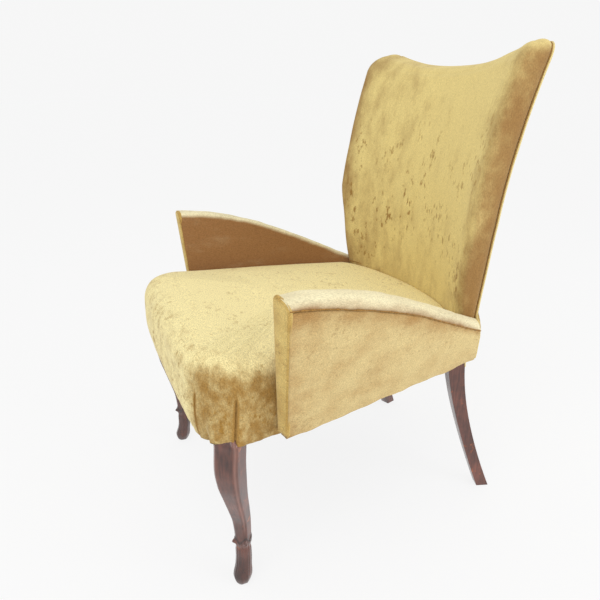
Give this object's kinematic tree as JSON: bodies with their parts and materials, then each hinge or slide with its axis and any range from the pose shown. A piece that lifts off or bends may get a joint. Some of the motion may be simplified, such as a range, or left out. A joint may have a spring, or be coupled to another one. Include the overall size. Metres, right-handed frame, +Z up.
{
  "type": "upholstered armchair",
  "caption": "Small upholstered armchair with splayed arm panels, a curved shield-shaped back with horned top corners, diagonal hoofed front legs and sabre rear legs.",
  "frame": {"origin": "on the floor under the middle of the bounding box", "axes": "+Z up, the sitter faces -Y, +X is the sitter's left"},
  "size_m": [0.6734, 0.6352, 0.8315],
  "materials": {
    "stained_wood": "dark stained, polished",
    "beech": "planed",
    "velvet": "crushed velvet",
    "dust_cloth": "plain weave",
    "webbing": "jute weave",
    "hessian": "open weave",
    "padding": "cotton and hair",
    "steel": "plain"
  },
  "bodies": {
    "root": {"arm_board_left": "beech", "arm_board_right": "beech", "arm_facing_left": "velvet", "arm_facing_right": "velvet", "arm_inside_cover_left": "velvet", "arm_inside_cover_right": "velvet", "arm_outer_wadding_left": "padding", "arm_outer_wadding_right": "padding", "arm_outside_cover_left": "velvet", "arm_outside_cover_right": "velvet", "arm_pad_left": "padding", "arm_pad_right": "padding", "arm_screws": "steel", "arm_spacers": "beech", "back_cheek_left": "beech", "back_cheek_right": "beech", "back_frame_dowels": "beech", "back_hessian": "hessian", "back_lower_rail": "beech", "back_pad": "padding", "back_webbing_across": "webbing", "back_webbing_upright": "webbing", "corner_block_screws": "steel", "corner_blocks": "beech", "crest_rail": "beech", "dust_cover": "dust_cloth", "front_leg_left": "stained_wood", "front_leg_right": "stained_wood", "front_rail": "beech", "inside_back_cover": "velvet", "outside_back_cover": "velvet", "rear_post_left": "stained_wood", "rear_post_right": "stained_wood", "rear_rail": "beech", "seat_cover": "velvet", "seat_frame_dowels": "beech", "seat_hessian": "hessian", "seat_stuffing": "padding", "seat_webbing_across": "webbing", "seat_webbing_long": "webbing", "side_rail_left": "beech", "side_rail_right": "beech"}
  },
  "joints": []
}
